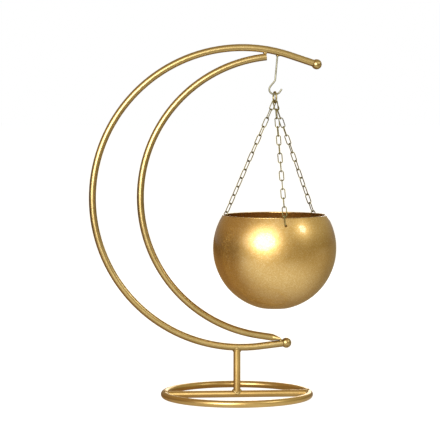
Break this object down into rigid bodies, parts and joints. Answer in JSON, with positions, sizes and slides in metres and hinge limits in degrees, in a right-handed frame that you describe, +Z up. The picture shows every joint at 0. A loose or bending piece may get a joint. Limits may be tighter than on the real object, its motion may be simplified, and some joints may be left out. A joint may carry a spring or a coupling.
{
  "type": "plant stand",
  "caption": "Table-top plant stand: crescent of bent steel tube on a ring base, with a round bowl hung on chains from a wire hook.",
  "frame": {"origin": "centre of the base ring, on the surface that the stand rests on", "axes": "+Z up, +X towards the open side of the crescent, +Y to the back; the crescent lies in the plane y = 0"},
  "size_m": [0.2806, 0.1732, 0.4013],
  "materials": {
    "frame_paint": "satin metallic gold paint",
    "bowl_paint": "satin metallic gold paint",
    "chain_plating": "pale brass plating",
    "hook_wire": "dull brass plating"
  },
  "bodies": {
    "stand": {"base_crossbar": "frame_paint", "base_ring": "frame_paint", "base_ring_seam_weld": "frame_paint", "crossbar_welds": "frame_paint", "hook": "hook_wire", "hook_weld": "frame_paint", "inner_arc": "frame_paint", "lower_arc_weld": "frame_paint", "lower_ball": "frame_paint", "outer_arc": "frame_paint", "post": "frame_paint", "post_foot_weld": "frame_paint", "post_head_weld": "frame_paint", "upper_arc_weld": "frame_paint", "upper_ball": "frame_paint"},
    "hang_ring": {"hang_ring": "chain_plating"},
    "bowl_sling": {"bowl": "bowl_paint", "front_chain_link_01": "chain_plating", "front_chain_link_02": "chain_plating", "front_chain_link_03": "chain_plating", "front_chain_link_04": "chain_plating", "front_chain_link_05": "chain_plating", "front_chain_link_06": "chain_plating", "front_chain_link_07": "chain_plating", "front_chain_link_08": "chain_plating", "front_chain_link_09": "chain_plating", "front_chain_link_10": "chain_plating", "front_chain_link_11": "chain_plating", "front_chain_link_12": "chain_plating", "front_chain_link_13": "chain_plating", "front_chain_link_14": "chain_plating", "left_chain_link_01": "chain_plating", "left_chain_link_02": "chain_plating", "left_chain_link_03": "chain_plating", "left_chain_link_04": "chain_plating", "left_chain_link_05": "chain_plating", "left_chain_link_06": "chain_plating", "left_chain_link_07": "chain_plating", "left_chain_link_08": "chain_plating", "left_chain_link_09": "chain_plating", "left_chain_link_10": "chain_plating", "left_chain_link_11": "chain_plating", "left_chain_link_12": "chain_plating", "left_chain_link_13": "chain_plating", "left_chain_link_14": "chain_plating", "right_chain_link_01": "chain_plating", "right_chain_link_02": "chain_plating", "right_chain_link_03": "chain_plating", "right_chain_link_04": "chain_plating", "right_chain_link_05": "chain_plating", "right_chain_link_06": "chain_plating", "right_chain_link_07": "chain_plating", "right_chain_link_08": "chain_plating", "right_chain_link_09": "chain_plating", "right_chain_link_10": "chain_plating", "right_chain_link_11": "chain_plating", "right_chain_link_12": "chain_plating", "right_chain_link_13": "chain_plating", "right_chain_link_14": "chain_plating"}
  },
  "joints": [
    {"name": "ring_swing", "type": "hinge", "parent": "stand", "child": "hang_ring", "pos_m": [0.04298, 0, 0.34488], "axis": [1, 0, 0], "range_deg": [-30, 30]},
    {"name": "bowl_sway", "type": "hinge", "parent": "hang_ring", "child": "bowl_sling", "pos_m": [0.04298, 0, 0.33548], "axis": [0.1736, -0.9848, 0], "range_deg": [-22, 30]}
  ]
}
